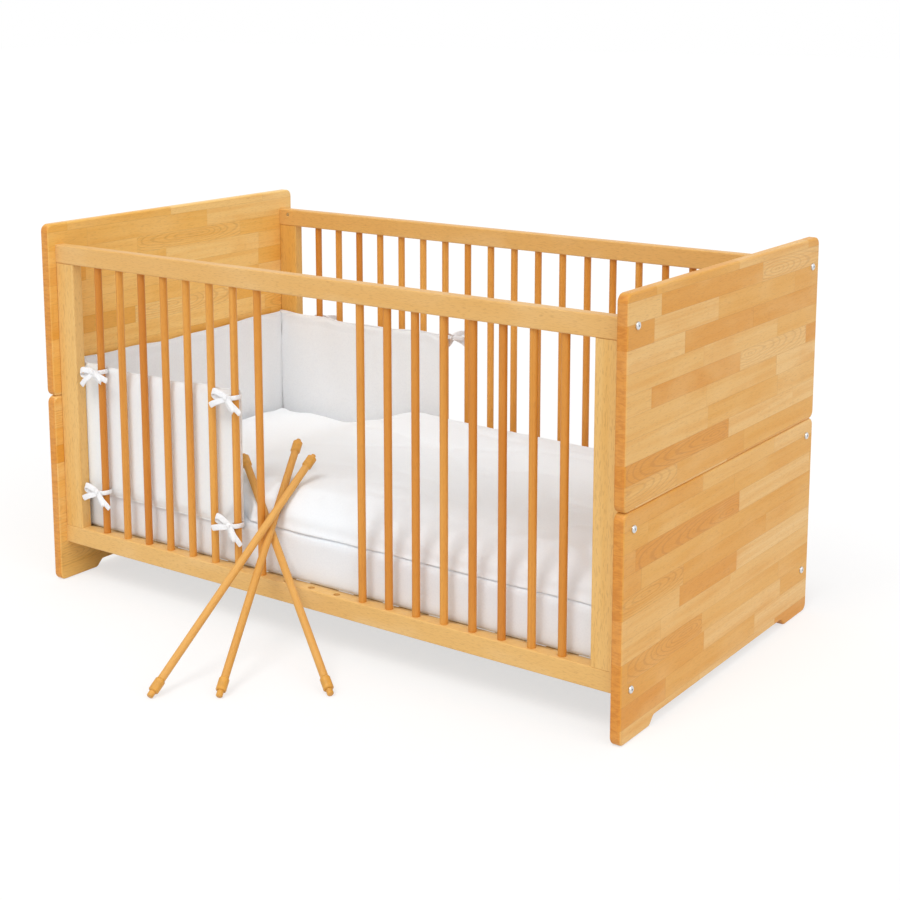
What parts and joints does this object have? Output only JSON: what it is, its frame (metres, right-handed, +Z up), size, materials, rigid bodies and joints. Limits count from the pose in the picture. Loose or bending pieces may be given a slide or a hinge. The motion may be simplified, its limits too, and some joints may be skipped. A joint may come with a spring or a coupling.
{
  "type": "baby crib",
  "caption": "Beech cot bed with two-part end panels, barred sides, slatted base, mattress, quilt and tied bumper; sprung rungs taken out of the front side lean in the gap.",
  "frame": {"origin": "on the floor, in the middle of the footprint of the crib together with its three leaning rungs", "axes": "+X along the crib towards its foot end, -Y towards the front side with the slip-through gap, +Z up"},
  "size_m": [1.468, 1.1414, 0.81],
  "materials": {
    "beech_panel": "oiled, edge-glued staves",
    "beech_rail": "oiled",
    "beech_bar": "oiled, turned",
    "base_wood": "planed, unfinished",
    "rung_plastic": "satin, wood-toned",
    "zinc_steel": "bright zinc",
    "spring_steel": "drawn wire",
    "mattress_cover": "fitted cotton sheet",
    "white_cotton": "plain cotton, padded",
    "white_ribbon": "woven ribbon"
  },
  "bodies": {
    "crib": {"head_upper_panel": "beech_panel", "head_lower_panel": "beech_panel", "head_panel_dowels": "beech_rail", "head_height_inserts": "zinc_steel", "foot_upper_panel": "beech_panel", "foot_lower_panel": "beech_panel", "foot_panel_dowels": "beech_rail", "foot_height_inserts": "zinc_steel", "front_bottom_rail": "beech_rail", "front_top_rail": "beech_rail", "front_head_stile": "beech_rail", "front_foot_stile": "beech_rail", "front_frame_dowels": "beech_rail", "back_bottom_rail": "beech_rail", "back_top_rail": "beech_rail", "back_head_stile": "beech_rail", "back_foot_stile": "beech_rail", "back_frame_dowels": "beech_rail", "front_head_bars": "beech_bar", "front_foot_bars": "beech_bar", "back_bars": "beech_bar", "head_bolts": "zinc_steel", "head_barrel_nuts": "zinc_steel", "foot_bolts": "zinc_steel", "foot_barrel_nuts": "zinc_steel", "base_front_beam": "base_wood", "base_back_beam": "base_wood", "base_head_rail": "base_wood", "base_head_bolts": "zinc_steel", "base_foot_rail": "base_wood", "base_foot_bolts": "zinc_steel", "base_slats": "base_wood", "mattress": "mattress_cover", "quilt": "white_cotton", "bumper_front_pad": "white_cotton", "bumper_back_pad": "white_cotton", "bumper_head_pad": "white_cotton", "bumper_front_ties": "white_ribbon", "bumper_back_ties": "white_ribbon"},
    "low_rung": {"low_rung_dowel": "beech_bar", "low_rung_sleeve": "rung_plastic", "low_rung_spring": "spring_steel", "low_rung_end_cap": "rung_plastic"},
    "low_rung_tip": {"low_rung_plunger": "rung_plastic"},
    "middle_rung": {"middle_rung_dowel": "beech_bar", "middle_rung_sleeve": "rung_plastic", "middle_rung_spring": "spring_steel", "middle_rung_end_cap": "rung_plastic"},
    "middle_rung_tip": {"middle_rung_plunger": "rung_plastic"},
    "top_rung": {"top_rung_dowel": "beech_bar", "top_rung_sleeve": "rung_plastic", "top_rung_spring": "spring_steel", "top_rung_end_cap": "rung_plastic"},
    "top_rung_tip": {"top_rung_plunger": "rung_plastic"}
  },
  "joints": [
    {"name": "low_rung_draw", "type": "slide", "parent": "crib", "child": "low_rung", "axis": [-0.729, 0.4194, 0.541], "range_m": [0, 0.12]},
    {"name": "low_rung_tip_press", "type": "slide", "parent": "low_rung", "child": "low_rung_tip", "axis": [-0.729, 0.4194, 0.541], "range_m": [0, 0.009], "stiffness_N_per_m": 500, "springref_m": -0.006, "deforming": ["low_rung_spring"]},
    {"name": "middle_rung_draw", "type": "slide", "parent": "crib", "child": "middle_rung", "axis": [-0.3052, 0.745, 0.5932], "range_m": [0, 0.12]},
    {"name": "middle_rung_tip_press", "type": "slide", "parent": "middle_rung", "child": "middle_rung_tip", "axis": [-0.3052, 0.745, 0.5932], "range_m": [0, 0.009], "stiffness_N_per_m": 500, "springref_m": -0.006, "deforming": ["middle_rung_spring"]},
    {"name": "top_rung_draw", "type": "slide", "parent": "crib", "child": "top_rung", "axis": [-0.0272, 0.8245, 0.5652], "range_m": [0, 0.12]},
    {"name": "top_rung_tip_press", "type": "slide", "parent": "top_rung", "child": "top_rung_tip", "axis": [-0.0272, 0.8245, 0.5652], "range_m": [0, 0.009], "stiffness_N_per_m": 500, "springref_m": -0.006, "deforming": ["top_rung_spring"]}
  ]
}
